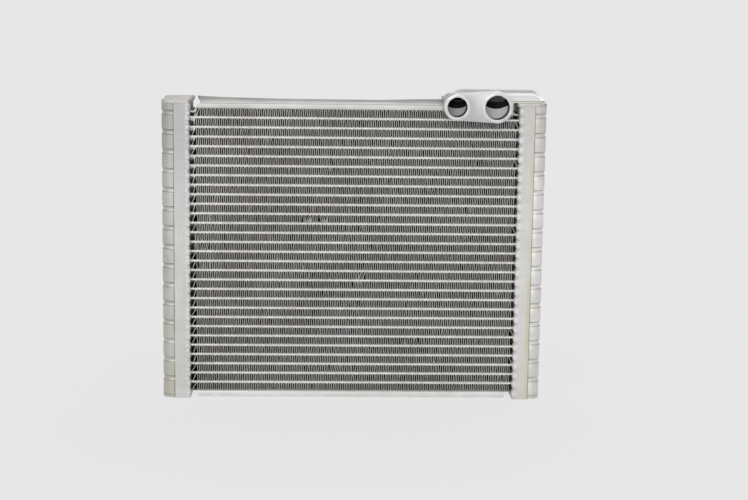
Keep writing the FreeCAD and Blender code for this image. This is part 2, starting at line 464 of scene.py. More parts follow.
def brazed_aluminium(name, base, pale, dull, grain, cloud, rough=0.42, metallic=0.75, bump=0.15):
    """Rolled aluminium sheet after brazing: grain, pale bloom, dull patches and pale specks."""
    material = bpy.data.materials.new(name)
    material.use_nodes = True
    tree = material.node_tree
    shader = tree.nodes["Principled BSDF"]
    place = node(tree, "TexCoord").outputs["Object"]
    lines = use_group(tree, rolled_grain, place, **grain).outputs["Mask"]
    bloom = use_group(tree, flux_bloom, place, **cloud).outputs
    patch = ramp(tree, noise(tree, place, 22.0), 0.42, 0.66)
    dark = [part * 0.86 for part in base[:3]] + [1.0]
    layers = (
        (patch, 0.7, dull),
        (bloom["Cloud"], 0.6, pale),
        (bloom["Speck"], 0.35, pale),
        (lines, 0.3, dark),
    )
    colour = base
    for mask, share, tone in layers:
        colour = mix_colour(tree, times(tree, mask, share), colour, tone)
    paint(tree, shader, colour)
    uneven = math_node(tree, "ADD", lines, bloom["Cloud"])
    dullness = ramp(tree, uneven, 0.0, 2.0, rough - 0.06, rough + 0.18)
    tree.links.new(dullness, shader.inputs["Roughness"])
    shader.inputs["Metallic"].default_value = metallic
    relief = math_node(tree, "ADD", times(tree, lines, 0.4), bloom["Cloud"])
    raised = node(tree, "Bump", Strength=bump, Distance=0.0002, Height=relief)
    tree.links.new(raised.outputs["Normal"], shader.inputs["Normal"])
    return material, tree, shader, place, colour


def along(x=1.0, y=1.0, z=1.0, lines=900.0):
    return {"Along_X": x, "Along_Y": y, "Along_Z": z, "Lines": lines}


def clouds(patches=60.0, specks=700.0, cover=0.5):
    return {"Patches": patches, "Specks": specks, "Cover": cover}


def paint_core_shade(parts, edge, depth, shade_colour):
    """Painted shade: the colour turns dark between the core's faces, where shade falls deep in the
    core, and stays plain at the faces and on bent legs that face the front near it.
    """
    tree, shader, place, colour = parts[1:]
    along_depth = axes_of(tree, place)["Y"]
    from_front = ramp(tree, along_depth, core_front + edge, core_front + depth)
    from_back = ramp(tree, along_depth, core_back - depth, core_back - edge, 1.0, 0.0)
    inside = times(tree, from_front, from_back)
    facing = axes_of(tree, node(tree, "NewGeometry").outputs["Normal"])["Y"]
    bent = ramp(tree, facing, -0.5, -0.38, 1.0, 0.0)
    at_front = ramp(tree, along_depth, core_front + 2.2 * mm, core_front + 3 * mm, 1.0, 0.0)
    inside = times(tree, inside, minus(tree, 1.0, times(tree, bent, at_front)))
    paint(tree, shader, mix_colour(tree, inside, colour, shade_colour))
    tree.links.new(ramp(tree, inside, 0.0, 1.0, 0.45, 1.0), shader.inputs["Metallic"])


def tube_material():
    """Pale nose with the small pale and dark spots that the brazed crests leave."""
    parts = brazed_aluminium(
        "tube_aluminium", grey(214, 0.02), grey(246, 0.005), grey(192, 0.035),
        along(x=0.3, lines=500.0), clouds(patches=330.0, specks=420.0, cover=0.52),
        rough=0.46, metallic=0.45, bump=0.3
    )
    # Painted shade: the tubes turn dark between the core's faces.
    paint_core_shade(parts, 1.2 * mm, 3.5 * mm, grey(55, 0.02))
    return parts[0]


def fin_material():
    """Thin fin stock: painted dark shade inside the core, plain and bright at the cut edges of both
    faces.
    """
    parts = brazed_aluminium(
        "fin_stock", grey(218, 0.02), grey(238, 0.01), grey(188, 0.03),
        along(z=0.2, lines=1500.0), clouds(patches=220.0, cover=0.45),
        rough=0.45, metallic=0.5, bump=0.2
    )
    # Painted shade: the fins turn near black between the core's faces.
    paint_core_shade(parts, 0.4 * mm, 1.9 * mm, grey(34, 0.03))
    material, tree, shader, place = parts[:4]
    louvres = node(
        tree, "TexWave", {"wave_type": "BANDS", "bands_direction": "Y"},
        Vector=place, Scale=160.0, Distortion=0.0
    )
    raised = node(tree, "Bump", Strength=0.5, Distance=0.0002, Height=louvres.outputs["Fac"])
    tree.links.new(raised.outputs["Normal"], shader.inputs["Normal"])
    return material


def header_material(name, tone, darker_top):
    """Channel sheet: pale braze fillets at the tubes, valleys painted pale on the left plate and
    grey on the right, painted shade towards the top and on the inner face deep in the core.
    """
    material, tree, shader, place, colour = brazed_aluminium(
        name, grey(tone, 0.012), grey(tone + 14, 0.01), grey(tone - 12, 0.02),
        along(z=0.03), clouds(patches=70.0, cover=0.42), rough=0.5, metallic=0.25
    )
    axes = axes_of(tree, place)
    across = math_node(tree, "ABSOLUTE", axes["X"])
    # Painted shade: darker towards the top.
    painted_top_shade = ramp(tree, axes["Z"], 120 * mm, 225 * mm, 0.0, darker_top)
    colour = mix_colour(tree, painted_top_shade, colour, grey(tone - 60))
    near_core = ramp(tree, across, header_low.x + 1.8 * mm, header_low.x + 4.4 * mm, 1.0, 0.0)
    above_first = minus(tree, axes["Z"], first_tube)
    off_tube = math_node(tree, "PINGPONG", above_first, tube_pitch / 2)
    uneven = ramp(tree, noise(tree, place, 420.0), 0.38, 0.6)
    fillet = times(tree, near_core, ramp(tree, off_tube, 0.9 * mm, 2.8 * mm, 0.6, 0.0))
    fillet = times(tree, fillet, ramp(tree, uneven, 0.0, 1.0, 0.2, 1.0))
    colour = mix_colour(tree, fillet, colour, grey(240))
    # Painted light and shade in the valleys between tubes: pale on the left plate, grey on the
    # right.
    to_right = ramp(tree, axes["X"], -mm, mm)
    valley = times(tree, near_core, ramp(tree, off_tube, 1.8 * mm, 3.2 * mm))
    valley = times(tree, valley, ramp(tree, to_right, 0.0, 1.0, 0.55, 0.3))
    pale = mix_colour(tree, uneven, grey(196, 0.01), grey(252, 0.0))
    colour = mix_colour(tree, valley, colour, mix_colour(tree, to_right, pale, grey(160, 0.02)))
    # Painted shade on the inner face deep in the core.
    inner_edge = ramp(tree, across, header_low.x + 0.2 * mm, header_low.x + 0.6 * mm, 1.0, 0.0)
    painted_depth_shade = ramp(tree, axes["Y"], core_front + 8 * mm, core_front + 14 * mm)
    painted_depth_shade = times(tree, inner_edge, painted_depth_shade)
    colour = mix_colour(tree, painted_depth_shade, colour, grey(52, 0.03))
    paint(tree, shader, colour)
    return material, tree, shader, place, colour


def stained_header_material():
    """The right-hand plate has a yellowish line of flux along the edge that holds the cover."""
    name = "header_aluminium_stained"
    material, tree, shader, place, colour = header_material(name, 214, 0.3)
    axes = axes_of(tree, place)
    near_edge = ramp(tree, axes["X"], header_high.x - 3.4 * mm, header_high.x - 1.8 * mm)
    broken = noise(tree, place, 45.0, 3.0)
    amount = times(tree, near_edge, ramp(tree, broken, 0.36, 0.6, 0.25, 0.95))
    stain = (0.62, 0.575, 0.41, 1.0)
    paint(tree, shader, mix_colour(tree, amount, colour, stain))
    return material


def painted_step_shade(tree, place):
    """Painted shade along the step where the cover goes into the header plate."""
    across = axes_of(tree, place)["X"]
    away = minus(tree, math_node(tree, "ABSOLUTE", across), header_high.x)
    return ramp(tree, away, 0.3 * mm, 0.9 * mm, 0.95, 0.0)


def painted_groove_shade(tree, place):
    """Painted shade: thin dark lines along the upper and the lower edge of each pressed groove."""
    height = axes_of(tree, place)["Z"]
    first_groove = first_tube + tube_pitch / 2
    above_first = minus(tree, height, first_groove)
    in_pitch = math_node(tree, "PINGPONG", above_first, groove_pitch / 2)
    off_edge = math_node(tree, "ABSOLUTE", minus(tree, in_pitch, 1.75 * mm))
    return ramp(tree, off_edge, 0.15 * mm, 0.6 * mm, 0.5, 0.0)


def cover_material(name, tone, low_stain, darker_top):
    """Tank sheet that turns beige towards its foot, with painted shade towards its top, at the step
    into the header plate and along its grooves.
    """
    material, tree, shader, place, colour = brazed_aluminium(
        name, grey(tone, 0.012), grey(tone + 20, 0.02), grey(tone - 16, 0.012),
        along(z=0.03), clouds(patches=90.0, cover=0.42), rough=0.5, metallic=0.65
    )
    height = axes_of(tree, place)["Z"]
    drift_noise = noise(tree, place, 30.0)
    # Painted shade: darker towards the top.
    painted_top_shade = ramp(tree, height, 150 * mm, 225 * mm, 0.0, darker_top)
    colour = mix_colour(tree, painted_top_shade, colour, grey(tone - 60, 0.02))
    near_foot = ramp(tree, height, 10 * mm, 120 * mm, low_stain, 0.0)
    amount = times(tree, near_foot, ramp(tree, drift_noise, 0.3, 0.6, 0.5, 1.0))
    stain = (0.50, 0.49, 0.385, 1.0)
    stained = mix_colour(tree, amount, colour, stain)
    # Painted shade at the step and along the groove edges, broken by noise.
    painted_crease_shade = larger(tree, painted_step_shade(tree, place), painted_groove_shade(tree, place))
    painted_crease_shade = times(tree, painted_crease_shade, ramp(tree, drift_noise, 0.25, 0.5, 0.55, 1.0))
    paint(tree, shader, mix_colour(tree, painted_crease_shade, stained, grey(92, 0.05)))
    return material


def cap_material():
    """Flux-stained caps: brown at the left one's inner end and the right one's outer end."""
    material, tree, shader, place, colour = brazed_aluminium(
        "cap_aluminium", grey(182, 0.03), grey(208, 0.02), grey(152, 0.05),
        along(), clouds(patches=190.0, cover=0.55), rough=0.48, metallic=0.55, bump=0.6
    )
    across = axes_of(tree, place)["X"]
    inner_end = times(
        tree, ramp(tree, across, -130 * mm, -126.5 * mm, 0.0, 0.7),
        ramp(tree, across, -120 * mm, -119 * mm, 1.0, 0.0)
    )
    colour = mix_colour(tree, inner_end, colour, (0.16, 0.10, 0.11, 1.0))
    outer_end = ramp(tree, across, 145.5 * mm, 148 * mm, 0.0, 0.5)
    colour = mix_colour(tree, outer_end, colour, (0.42, 0.30, 0.22, 1.0))
    paint(tree, shader, colour)
    return material


def side_plate_material():
    """Rolled plate, with painted shade along the top of its back rim and on its end tongues."""
    material, tree, shader, place, colour = brazed_aluminium(
        "side_plate_aluminium", grey(216, 0.01), grey(232, 0.01), grey(202, 0.02),
        along(x=0.03), clouds(patches=80.0, cover=0.45), rough=0.5, metallic=0.35
    )
    axes = axes_of(tree, place)
    rim_z = top_plate_high.z
    # Painted shade along the top of the back rim.
    upper = ramp(tree, axes["Z"], rim_z - 3.0 * mm, rim_z + 0.8 * mm, 0.15, 0.85)
    painted_rim_shade = times(tree, upper, ramp(tree, axes["Y"], middle_y, middle_y + 5 * mm))
    colour = mix_colour(tree, painted_rim_shade, colour, grey(142, 0.01))
    # Painted shade on the end tongues and, on the bottom plate, at the ends down at its foot.
    width = math_node(tree, "ABSOLUTE", axes["X"])
    at_end = ramp(tree, width, plate_end_x - 0.2 * mm, plate_end_x + mm)
    back_from = middle_y - tongue_half + 0.7 * mm
    inward = ramp(tree, axes["Y"], back_from, back_from + 0.6 * mm)
    at_foot = ramp(tree, axes["Z"], bottom_plate_high.z, bottom_plate_high.z + mm, 1.0, 0.0)
    shade = times(tree, at_end, larger(tree, inward, at_foot))
    paint(tree, shader, mix_colour(tree, shade, colour, grey(110, 0.03)))
    return material


def ring_line(tree, away, radius, width):
    off = math_node(tree, "ABSOLUTE", minus(tree, away, radius))
    return ramp(tree, off, width * 0.6, width, 1.0, 0.0)


def block_material():
    """Machined port block: pale rings, with painted shade on the bore walls, the shelf and the
    passage behind.
    """
    material, tree, shader, place, colour = brazed_aluminium(
        "block_aluminium", grey(192, 0.0), grey(208, 0.0), grey(182, 0.0),
        along(lines=1400.0), clouds(patches=110.0, cover=0.4), rough=0.45, metallic=0.55
    )
    axes = axes_of(tree, place)
    flat = node(tree, "CombineXYZ", X=axes["X"], Y=0.0, Z=axes["Z"]).outputs[0]
    rings = []
    walls = []
    bores = []
    for centre, radius in ((outlet, outlet_bore), (inlet, inlet_bore)):
        away = vector_node(tree, "DISTANCE", flat, (centre.x, 0, centre.z))["Value"]
        rim = radius + port_rim
        rings.append(ramp(tree, away, rim - 0.5 * mm, rim, 1.0, 0.0))
        walls.append(ring_line(tree, away, radius, 0.25 * mm))
        bores.append(ramp(tree, away, radius + 0.3 * mm, radius + 0.8 * mm, 1.0, 0.0))
    ring = times(tree, larger(tree, rings[0], rings[1]), 0.6)
    colour = mix_colour(tree, ring, colour, grey(216))
    # Painted shade inside the bores: the shelf is grey, darker in the smaller inlet.
    to_outlet = ramp(tree, axes["X"], inlet.x + inlet_radius, outlet.x - outlet_radius)
    painted_shelf_shade = mix_colour(tree, to_outlet, grey(171, 0.01), grey(200, 0.01))
    painted_depth_shade = ramp(tree, axes["Y"], block_low.y + 2.0 * mm, block_low.y + 6.0 * mm)
    colour = mix_colour(tree, painted_depth_shade, colour, painted_shelf_shade)
    # Painted shade: the bore walls turn dark behind their mouths.
    wall = larger(tree, walls[0], walls[1])
    inside = ramp(tree, axes["Y"], block_low.y + 0.7 * mm, block_low.y + 1.6 * mm)
    colour = mix_colour(tree, times(tree, wall, inside), colour, grey(72, 0.02))
    # Painted shade: near black behind the bore ends and in the upper half of each bore.
    bore_end = block_low.y + bore_depth
    behind = ramp(tree, axes["Y"], bore_end + 0.3 * mm, bore_end + 0.7 * mm)
    upper = ramp(tree, axes["Z"], port_z - 0.5 * mm, port_z + mm)
    halfway = ramp(tree, axes["Y"], block_low.y + 3 * mm, block_low.y + 8 * mm)
    dark = larger(tree, behind, times(tree, upper, halfway))
    dark = times(tree, dark, larger(tree, bores[0], bores[1]))
    paint(tree, shader, mix_colour(tree, dark, colour, grey(20, 0.06)))
    plain = ramp(tree, painted_depth_shade, 0.0, 1.0, 0.5, 0.0)
    tree.links.new(larger(tree, plain, dark), shader.inputs["Metallic"])
    return material


def manifold_material():
    """Satin shell with painted shade towards the crown of the ducts, darker at its left end, with a
    little flux at the flange.
    """
    material, tree, shader, place, colour = brazed_aluminium(
        "manifold_aluminium", grey(228, 0.0), grey(240, 0.0), grey(212, 0.0),
        along(x=0.05), clouds(patches=60.0, cover=0.4), rough=0.52, metallic=0.5
    )
    across, _, height = axes_of(tree, place)
    # Painted shade towards the crown of the ducts; the shell is also darker at its left end.
    crown_z = upper_shell_high.z
    crown = ramp(tree, height, crown_z - 3.0 * mm, crown_z - 0.6 * mm, 0.0, 0.7)
    greyer = mix_colour(tree, crown, colour, grey(145, 0.0))
    left_x = upper_shell_low.x
    left_end = ramp(tree, across, left_x + 3 * mm, left_x + 12 * mm, 0.7, 0.0)
    greyer = mix_colour(tree, left_end, greyer, grey(120, 0.0))
    flange_z = lower_shell_high.z
    low_band = ramp(tree, height, flange_z + 0.3 * mm, flange_z + 1.4 * mm, 0.6, 0.0)
    foot = times(tree, low_band, ramp(tree, across, 108 * mm, 122 * mm))
    paint(tree, shader, mix_colour(tree, foot, greyer, (0.74, 0.72, 0.6, 1.0)))
    return material


def inner_material():
    return brazed_aluminium(
        "inner_aluminium", grey(160, 0.02), grey(190, 0.01), grey(140, 0.02),
        along(), clouds(), rough=0.5, metallic=0.6
    )[0]


tube_metal = tube_material()
fin_metal = fin_material()
header_metal = header_material("header_aluminium", 208, 0.45)[0]
stained_header_metal = stained_header_material()
left_cover_metal = cover_material("cover_aluminium_left", 194, 0.75, 0.45)
right_cover_metal = cover_material("cover_aluminium_right", 228, 0.3, 0.45)
cap_metal = cap_material()
side_plate_metal = side_plate_material()
block_metal = block_material()
manifold_metal = manifold_material()
inner_metal = inner_material()


# Flat tubes
def flat_tube():
    low = Vector((-cover_low.x, core_front, first_tube - tube_thickness / 2))
    high = Vector((cover_low.x, core_back, first_tube + tube_thickness / 2))
    tube = start_block("tube_01", low, high)
    pick(tube, "edges", lambda edge: runs_along(edge, X))
    bpy.ops.mesh.bevel(offset=tube_nose, segments=4)
    cut_at(Y, middle_y)
    pick(tube, "faces", lambda face: abs(face.normal.x) > 0.9)
    bpy.ops.mesh.inset(thickness=channel_rim, use_individual=True)
    for way in (-1, 1):
        pick(tube, "faces", lambda face: face.normal.x * way > 0.9
             and face.calc_area() > least_channel_end)
        extrude(x=-way * channel_depth)
    close_up(tube)
    smooth(tube)
    return tube


lowest_tube = flat_tube()
dress(lowest_tube, "core", tube_metal, "finned_tube_01")
for index in range(1, tube_count):
    tube = copied(lowest_tube, "tube_%02d" % (index + 1), (0, 0, tube_pitch * index))
    dress(tube, "core", tube_metal, "finned_tube_%02d" % (index + 1))


# Fin ribbons
def fin_row():
    crest = fin_high.z - fin_sheet / 2
    foot_line = fin_low.z + fin_sheet / 2
    start = fin_low.x
    left = start + fin_wave / 4
    right = start + 3 * fin_wave / 4
    ribbon = start_sheet(
        "fin_00", Vector((left, fin_low.y, crest)), Vector((right, fin_high.y, crest))
    )
    for side, way in ((left, -1), (right, 1)):
        pick(ribbon, "edges", lambda edge: runs_along(edge, Y) and near(middle(edge).x, side))
        extrude_edges(z=foot_line - crest)
        extrude_edges(x=way * fin_wave / 4)
    pick(ribbon, "edges", lambda edge: runs_along(edge, Y)
         and start + close < middle(edge).x < start + fin_wave - close)
    bpy.ops.mesh.bevel(offset=fin_crest_radius, segments=2)
    for line in (core_front + 2 * mm, middle_y, core_back - 2 * mm):
        cut_at(Y, line)
    repeat(ribbon, waves_in_row, (fin_wave, 0, 0))
    edit(ribbon)
    pick(ribbon, "verts", lambda corner: near(corner.co.y, middle_y))
    move(x=fin_bow)
    leave_edit_mode()
    return ribbon


def fin_drift(name, scale):
    texture = bpy.data.textures.new(name, "CLOUDS")
    texture.noise_scale = scale
    texture.noise_depth = 1
    return texture


drift = fin_drift("fin_drift", 5 * mm)
jitter = fin_drift("fin_jitter", 1.7 * mm)


def lean_end(ribbon, way, row_foot, reach):
    """The last leg of a row leans out to the header plate."""
    limit = (row_end if way > 0 else -fin_low.x) - fin_wave / 4 - close
    pick(ribbon, "verts", lambda corner: corner.co.x * way > limit and corner.co.z < row_foot + mm)
    move(x=way * reach)


def bend_front(ribbon, x, half_width, low, high, shift):
    """A few fins whose front edges are bent to one side between two heights."""
    front = core_front + mm
    pick(ribbon, "verts", lambda corner: corner.co.y < front
         and abs(corner.co.x - x) < half_width and low < corner.co.z < high)
    move(x=shift)


def handle_marks(ribbon, index, chance):
    row_foot = fin_low.z + tube_pitch * index
    edit(ribbon)
    if index < tube_count:
        for way in (-1, 1):
            if chance.random() < (0.85 if way < 0 else 0.2):
                lean_end(ribbon, way, row_foot, chance.uniform(1.2, 2.6) * mm)
    else:
        for way in (-1, 1):
            bpy.ops.mesh.select_all(action="SELECT")
            bpy.ops.mesh.bisect(
                plane_co=(way * top_row_end, 0, 0), plane_no=(way, 0, 0), clear_outer=True
            )
    for _ in range(chance.randint(2, 5)):
        x = chance.uniform(fin_low.x, fin_high.x)
        shift = chance.choice((-1, 1)) * chance.uniform(0.3, 0.7) * mm
        middle_z = row_foot + chance.uniform(0.3, 0.7) * tube_pitch
        half_width = chance.uniform(0.8, 3.0) * mm
        bend_front(ribbon, x, half_width, middle_z - 2 * mm, middle_z + 2 * mm, shift)
    for row, *marks in dents:
        if row == index:
            x, half_width, low, high, shift = (mark * mm for mark in marks)
            bend_front(ribbon, x, half_width, row_foot + low, row_foot + high, shift)
    leave_edit_mode()


def finish_ribbon(ribbon):
    for texture, strength in ((drift, 0.9 * mm), (jitter, 0.25 * mm)):
        modify(
            ribbon, "DISPLACE", texture=texture, texture_coords="LOCAL", direction="X",
            strength=strength, mid_level=0.5
        )
    modify(ribbon, "SOLIDIFY", thickness=fin_sheet, offset=0)
    smooth(ribbon, 50)


def fin_ribbons():
    chance = random.Random(12)
    one = fin_row()
    rows = [one]
    for index in range(tube_count):
        row = index + 1
        rows.append(copied(one, "fin_%02d" % row, (0, 0, tube_pitch * row)))
    for index, ribbon in enumerate(rows):
        handle_marks(ribbon, index, chance)
        finish_ribbon(ribbon)
        node_name = "finned_tube_%02d" % index if index else "bottom_fin"
        dress(ribbon, "core", fin_metal, node_name)


def louvre_banks():
    """The turned louvres of each row, as two pleated strips that stop light passing through."""
    wave = (fin_high.x - fin_low.x) / waves_in_row
    count = waves_in_row - 3
    start = (fin_low.x + fin_high.x - count * wave) / 2
    bank_foot = fin_low.z + fin_sheet
    low = Vector((start, core_front + louvre_depth, bank_foot))
    high = Vector((start + wave, core_back - louvre_depth, bank_foot))
    bank = start_sheet("louvres_00", low, high)
    for line in (low.y, high.y):
        pick(bank, "edges", lambda edge: runs_along(edge, X) and near(middle(edge).y, line))
        extrude_edges(z=fin_high.z - fin_low.z - 2 * fin_sheet)
    pick(bank, "faces", lambda face: abs(face.normal.z) > 0.9)
    bpy.ops.mesh.delete(type="FACE")
    cut_at(X, start + wave / 2)
    for line, way in ((low.y, 1), (high.y, -1)):
        pick(bank, "verts", lambda corner: near(corner.co.x, start + wave / 2)
             and near(corner.co.y, line))
        move(y=way * louvre_pleat)
    repeat(bank, count, (wave, 0, 0))
    modify(bank, "SOLIDIFY", thickness=louvre_sheet, offset=0)
    dress(bank, "core", fin_metal, "bottom_fin")
    for index in range(1, tube_count + 1):
        twin = copied(bank, "louvres_%02d" % index, (0, 0, tube_pitch * index))
        dress(twin, "core", fin_metal, "finned_tube_%02d" % index)


fin_ribbons()
louvre_banks()


# Header plates: channels with a valley pressed between every two tubes
def press_valley(plate, low, high, row, share):
    """The valley is deepest in the plate's middle and shallow where it turns into its sides."""
    inner = low.x + header_corner * 0.4
    limit = low.x + header_corner - close
    half = (high.y - low.y) / 2 - header_corner + close
    flat_half = half - valley_run_in
    centre = (low.y + high.y) / 2
    pick(plate, "verts", lambda corner: near(corner.co.z, row)
         and corner.co.x < low.x + close and abs(corner.co.y - centre) < flat_half)
    move(x=valley_depth * share)
    for way in (-1, 1):
        pick(plate, "verts", lambda corner: near(corner.co.z, row)
             and corner.co.x < inner and (corner.co.y - centre) * way > flat_half)
        move(x=valley_depth * share * 0.2, y=-way * 0.5 * mm * share)
        pick(plate, "verts", lambda corner: near(corner.co.z, row)
             and inner < corner.co.x < limit and (corner.co.y - centre) * way > half)
        move(x=valley_depth * share * 0.08, y=-way * 0.45 * mm * share)


def header_plate():
    low = Vector((header_low.x, header_low.y, first_tube - tube_pitch))
    high = Vector((header_high.x, header_high.y, first_tube))
    plate = start_block("header_right", low, high)
    pick(plate, "faces", lambda face: face.normal.x > 0.9 or abs(face.normal.z) > 0.9)
    bpy.ops.mesh.delete(type="ONLY_FACE")
    pick(plate, "edges", lambda edge: runs_along(edge, Z) and middle(edge).x < low.x + close)
    bpy.ops.mesh.bevel(offset=header_corner, segments=6)
    run_in = header_corner + valley_run_in
    for line in (low.y + run_in, high.y - run_in):
        cut_at(Y, line)
    for rise, share in valley_rows:
        cut_at(Z, low.z + rise)
    for rise, share in valley_rows:
        press_valley(plate, low, high, low.z + rise, share)
    repeat(plate, tube_count, (0, 0, tube_pitch))
    edit(plate)
    for start, end in ((low.z, header_low.z), (top_tube, header_high.z)):
        pick(plate, "edges", lambda edge: all(near(corner.co.z, start) for corner in edge.verts))
        extrude_edges(z=end - start)
    close_up(plate)
    modify(plate, "SOLIDIFY", thickness=header_wall, offset=-1, use_even_offset=True)
    smooth(plate, 40)
    return plate


right_header = header_plate()
dress(right_header, "header_plate", stained_header_metal, "header_plate_right")
dress(on_left(right_header, "header_left"), "header_plate", header_metal, "header_plate_left")


# Tank covers: two barrels side by side, with rounded grooves pressed across them
def tank_cover():
    first_groove = first_tube + tube_pitch / 2
    low = Vector((cover_low.x, cover_low.y, first_groove - groove_pitch / 2))
    high = Vector((cover_high.x, cover_high.y, first_groove + groove_pitch / 2))
    cover = start_block("cover_right", low, high)
    pick(cover, "faces", lambda face: face.normal.x < -0.9 or abs(face.normal.z) > 0.9)
    bpy.ops.mesh.delete(type="ONLY_FACE")
    round_shoulders(cover, high.x, 7)
    for share in (0.25, 0.5, 0.75):
        cut_at(Y, low.y + (high.y - low.y) * share)
    for share, part in ((0.25, 0.45), (0.5, 1.0), (0.75, 0.45)):
        line = low.y + (high.y - low.y) * share
        pick(cover, "verts", lambda corner: near(corner.co.y, line)
             and corner.co.x > high.x - close)
        move(x=-middle_fall * part)
    for rise, push in groove_rows:
        cut_at(Z, first_groove + rise)
    for rise, push in groove_rows:
        row = first_groove + rise
        pick(cover, "verts", lambda corner: near(corner.co.z, row))
        if push:
            bpy.ops.transform.shrink_fatten(value=-push)
    repeat(cover, (tube_count + 1) // 2, (0, 0, groove_pitch))
    edit(cover)
    top = low.z + groove_pitch * ((tube_count + 1) // 2)
    for start, end in ((low.z, cover_low.z), (top, cover_high.z)):
        pick(cover, "verts", lambda corner: near(corner.co.z, start))
        move(z=end - start)
    close_up(cover)
    modify(cover, "SOLIDIFY", thickness=cover_wall, offset=-1, use_even_offset=True)
    smooth(cover, 40)
    return cover


right_cover = tank_cover()
dress(right_cover, "tank_cover", right_cover_metal, "tank_cover_right")
dress(on_left(right_cover, "cover_left"), "tank_cover", left_cover_metal, "tank_cover_left")


# Tank ends: a plate with rounded shoulders and a waist between the barrels
def tank_end(name, low, high, edge_radius):
    plate = start_block(name, low, high)
    round_shoulders(plate, high.x, 7)
    pick(plate, "edges", lambda edge: runs_along(edge, Z) and middle(edge).x < low.x + close)
    bpy.ops.mesh.bevel(offset=1.5 * mm, segments=3)
    cut_at(Y, middle_y)
    pick(plate, "verts", lambda corner: near(corner.co.y, middle_y)
         and corner.co.x > high.x - close)
    move(x=-middle_fall)
    pick(plate, "edges", lambda edge: len(edge.link_faces) == 2
         and edge.calc_face_angle() > 1.0 and middle(edge).z > high.z - close)
    bpy.ops.mesh.bevel(offset=edge_radius, segments=2)
    close_up(plate)
    smooth(plate)
    return plate


head_start = Vector((cap_low.x - head_overhang, cap_low.y, cover_high.z))
tank_ends = (
    ("head_cap", head_start, cap_high, 0.6 * mm),
    ("foot_cap", foot_low, foot_high, 0.3 * mm),
)
for name, low, high, edge_radius in tank_ends:
    cap = tank_end(name + "_right_plate", low, high, edge_radius)
    dress(cap, "end_cap", cap_metal, name + "_right")
    dress(on_left(cap, name + "_left_plate"), "end_cap", cap_metal, name + "_left")


# Side plates: bent from one sheet, with a tongue at each end that enters the header plate
def side_plate(name, node_name, web_z, rim_z, tongue_z):
    end_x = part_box(node_name)[1].x
    front = core_front + side_sheet / 2
    back = core_back - side_sheet / 2
    plate = start_sheet(
        name, Vector((-plate_end_x, front, web_z)), Vector((plate_end_x, back, web_z))
    )
    for line in (middle_y - tongue_half, middle_y + tongue_half):
        cut_at(Y, line)
    for line in (front, back):
        pick(plate, "edges", lambda edge: runs_along(edge, X) and near(middle(edge).y, line))
        extrude_edges(z=rim_z - web_z)
    pick(plate, "edges", lambda edge: runs_along(edge, X) and near(middle(edge).z, web_z)
         and (near(middle(edge).y, front) or near(middle(edge).y, back)))
    bpy.ops.mesh.bevel(offset=side_bend, segments=3)
    for way in (-1, 1):
        pick(plate, "edges", lambda edge: runs_along(edge, Y)
             and near(middle(edge).x, way * plate_end_x) and near(middle(edge).y, middle_y))
        turned = 0.0
        for step in range(1, tongue_steps + 1):
            turn = (1 - math.cos(math.pi * step / tongue_steps)) / 2
            extrude_edges(x=way * tongue_run / tongue_steps, z=(tongue_z - web_z) * (turn - turned))
            turned = turn
        extrude_edges(x=way * (end_x - plate_end_x - tongue_run))
    for way in (-1, 1):
        pick(plate, "verts", lambda corner: near(corner.co.z, rim_z)
             and corner.co.x * way > plate_end_x - close)
        move(x=-way * 0.5 * mm)
    close_up(plate)
    modify(plate, "SOLIDIFY", thickness=side_sheet, offset=0, use_even_offset=True)
    smooth(plate, 40)
    return plate


def bend_back_rim(plate):
    """The back rim stands up most at its left end and again beside the port block."""
    bends = ((-105, 1.9), (-80, 1.4), (-55, 1.0), (20, 0.9), (45, 1.6), (62, 2.0))
    rim_foot = top_plate_high.z - 1.3 * mm
    edit(plate)
    for line, _ in bends:
        cut_at(X, line * mm)
    for line, rise in bends:
        pick(plate, "verts", lambda corner: near(corner.co.x, line * mm)
             and corner.co.y > middle_y and corner.co.z > rim_foot)
        move(z=rise * mm)
    for way, shift, rise in ((-1, -2.5, 2.8), (1, 0, 2.0)):
        pick(plate, "verts", lambda corner: corner.co.x * way > plate_end_x - mm
             and corner.co.y > middle_y and corner.co.z > rim_foot)
        move(x=shift * mm, z=rise * mm)
    leave_edit_mode()


top_web = top_tube + tube_pitch - tube_thickness / 2 + side_sheet / 2
top_side = side_plate(
    "side_plate_top_sheet", "side_plate_top", top_web, top_plate_high.z, top_web - tongue_drop
)
bend_back_rim(top_side)
dress(top_side, "side_plate", side_plate_metal, "side_plate_top")
bottom_web = fin_low.z - side_sheet / 2
bottom_side = side_plate(
    "side_plate_bottom_sheet", "side_plate_bottom", bottom_web, bottom_plate_low.z, bottom_web
)
dress(bottom_side, "side_plate", side_plate_metal, "side_plate_bottom")


# Port block
def block_body():
    front = block_low.y + web_recess
    body = start_bar("port_block_body", outlet, outlet_radius - bar_trim, front, block_high.y, 64)
    pick(body, "verts", lambda corner: corner.co.x < outlet.x - close)
    shrink = (inlet_radius - bar_trim) / (outlet_radius - bar_trim)
    bpy.ops.transform.resize(value=(shrink, 1, shrink), center_override=(outlet.x, 0, port_z))
    move(x=inlet.x - outlet.x)
    close_up(body)
    for centre, radius in ((outlet, outlet_radius), (inlet, inlet_radius)):
        boss = start_bar("boss", centre, radius, block_low.y, block_high.y - 0.2 * mm, 64)
        combine(body, boss, "UNION")
    for centre, radius in ((outlet, outlet_bore), (inlet, inlet_bore)):
        bore = start_bar("bore", centre, radius, block_low.y - mm, block_low.y + bore_depth, 64)
        combine(body, bore, "DIFFERENCE")
        combine(body, pocket(centre, radius - port_shelf), "DIFFERENCE")
    return body


